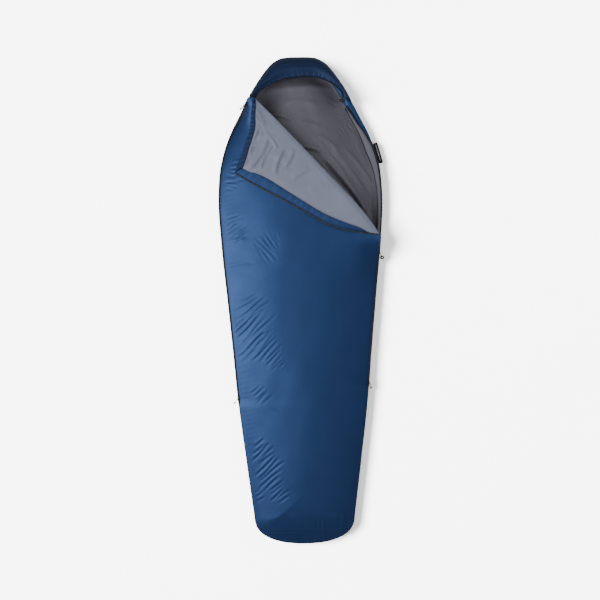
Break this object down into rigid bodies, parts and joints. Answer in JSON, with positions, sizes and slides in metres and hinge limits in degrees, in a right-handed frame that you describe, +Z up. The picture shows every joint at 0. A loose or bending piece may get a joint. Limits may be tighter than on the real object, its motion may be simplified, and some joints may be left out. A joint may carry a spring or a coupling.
{
  "type": "mummy sleeping bag",
  "caption": "Insulated mummy sleeping bag lying flat, hood at one end, the front's upper corner folded back along a diagonal to show the lining, with a zip down each side.",
  "frame": {"origin": "middle of the bag's footprint, on the surface it lies on", "axes": "+Y from the foot towards the hood, +X to the zip that is open, +Z up out of the front"},
  "size_m": [0.7146, 2.1004, 0.1394],
  "materials": {
    "cord": "braided cord",
    "insulation": "lofted polyester fibre",
    "lining_charcoal": "soft brushed lining",
    "lining_grey": "soft lining with a satin face",
    "lock_plastic": "moulded black plastic",
    "pull_plastic": "moulded black plastic",
    "shell_blue": "smooth ripstop polyester with a low sheen",
    "shell_navy": "smooth dark polyester",
    "slider_metal": "black lacquered zinc",
    "spring_steel": "plain spring wire",
    "webbing": "woven webbing",
    "zip_tape": "woven zip tape",
    "zip_teeth": "moulded coil"
  },
  "bodies": {
    "bag": {"back_insulation": "insulation", "back_lining": "lining_charcoal", "back_shell": "shell_blue", "brim_hem": "shell_navy", "cord_lock_barrel": "lock_plastic", "cord_lock_spring": "spring_steel", "foot_insulation": "insulation", "foot_lining": "lining_charcoal", "foot_shell": "shell_blue", "front_insulation": "insulation", "front_lining": "lining_grey", "front_shell": "shell_blue", "hood_drawcord": "cord", "hood_insulation": "insulation", "hood_lining": "lining_charcoal", "hood_shell": "shell_navy", "left_draft_tube": "lining_grey", "left_zip_back_tape": "zip_tape", "left_zip_back_teeth": "zip_teeth", "left_zip_front_tape": "zip_tape", "left_zip_front_teeth": "zip_teeth", "left_zip_stop": "zip_teeth", "open_zip_tape": "zip_tape", "open_zip_teeth": "zip_teeth", "right_draft_tube": "lining_grey", "right_zip_back_tape": "zip_tape", "right_zip_back_teeth": "zip_teeth", "right_zip_front_tape": "zip_tape", "right_zip_front_teeth": "zip_teeth", "right_zip_stop": "zip_teeth", "side_loop": "webbing"},
    "right_main_slider": {"right_main_slider": "slider_metal"},
    "right_main_pull": {"right_main_pull": "pull_plastic"},
    "right_lower_slider": {"right_lower_slider": "slider_metal"},
    "right_lower_pull": {"right_lower_pull": "pull_plastic"},
    "left_top_slider": {"left_top_slider": "slider_metal"},
    "left_top_pull": {"left_top_pull": "pull_plastic"},
    "left_lower_slider": {"left_lower_slider": "slider_metal"},
    "left_lower_pull": {"left_lower_pull": "pull_plastic"},
    "cord_lock_button": {"cord_lock_button": "lock_plastic"},
    "flap": {"flap_insulation": "insulation", "flap_lining": "lining_grey", "flap_neck_hem": "shell_navy", "flap_shell": "shell_blue", "flap_zip_facing": "shell_navy", "flap_zip_tape": "zip_tape", "flap_zip_teeth": "zip_teeth"}
  },
  "joints": [
    {"name": "flap_fold", "type": "hinge", "parent": "bag", "child": "flap", "pos_m": [-0.183, 0.86, 0.1205], "axis": [-0.6641, 0.7476, 0], "range_deg": [0, 180]},
    {"name": "right_main_slider_travel", "type": "slide", "parent": "bag", "child": "right_main_slider", "axis": [-0.0943, -0.9955, 0], "range_m": [0, 0.33]},
    {"name": "right_main_pull_swing", "type": "hinge", "parent": "right_main_slider", "child": "right_main_pull", "pos_m": [0.34129, 0.19952, 0.048], "axis": [0, 0, 1], "range_deg": [-11, 120]},
    {"name": "right_lower_slider_travel", "type": "slide", "parent": "bag", "child": "right_lower_slider", "axis": [0.0889, 0.996, 0], "range_m": [0, 0.15]},
    {"name": "right_lower_pull_swing", "type": "hinge", "parent": "right_lower_slider", "child": "right_lower_pull", "pos_m": [0.28906, -0.36045, 0.048], "axis": [0, 0, 1], "range_deg": [-10, 140]},
    {"name": "left_top_slider_travel", "type": "slide", "parent": "bag", "child": "left_top_slider", "axis": [-0.4524, -0.8918, 0], "range_m": [0, 0.08]},
    {"name": "left_top_pull_swing", "type": "hinge", "parent": "left_top_slider", "child": "left_top_pull", "pos_m": [-0.23765, 0.84431, 0.048], "axis": [0, 0, -1], "range_deg": [-9, 140]},
    {"name": "left_lower_slider_travel", "type": "slide", "parent": "bag", "child": "left_lower_slider", "axis": [-0.0889, 0.996, 0], "range_m": [0, 0.2]},
    {"name": "left_lower_pull_swing", "type": "hinge", "parent": "left_lower_slider", "child": "left_lower_pull", "pos_m": [-0.28361, -0.42145, 0.048], "axis": [0, 0, -1], "range_deg": [-30, 110]},
    {"name": "cord_lock_press", "type": "slide", "parent": "bag", "child": "cord_lock_button", "axis": [1, 0, 0], "range_m": [0, 0.003], "stiffness_N_per_m": 300, "springref_m": -0.01}
  ]
}
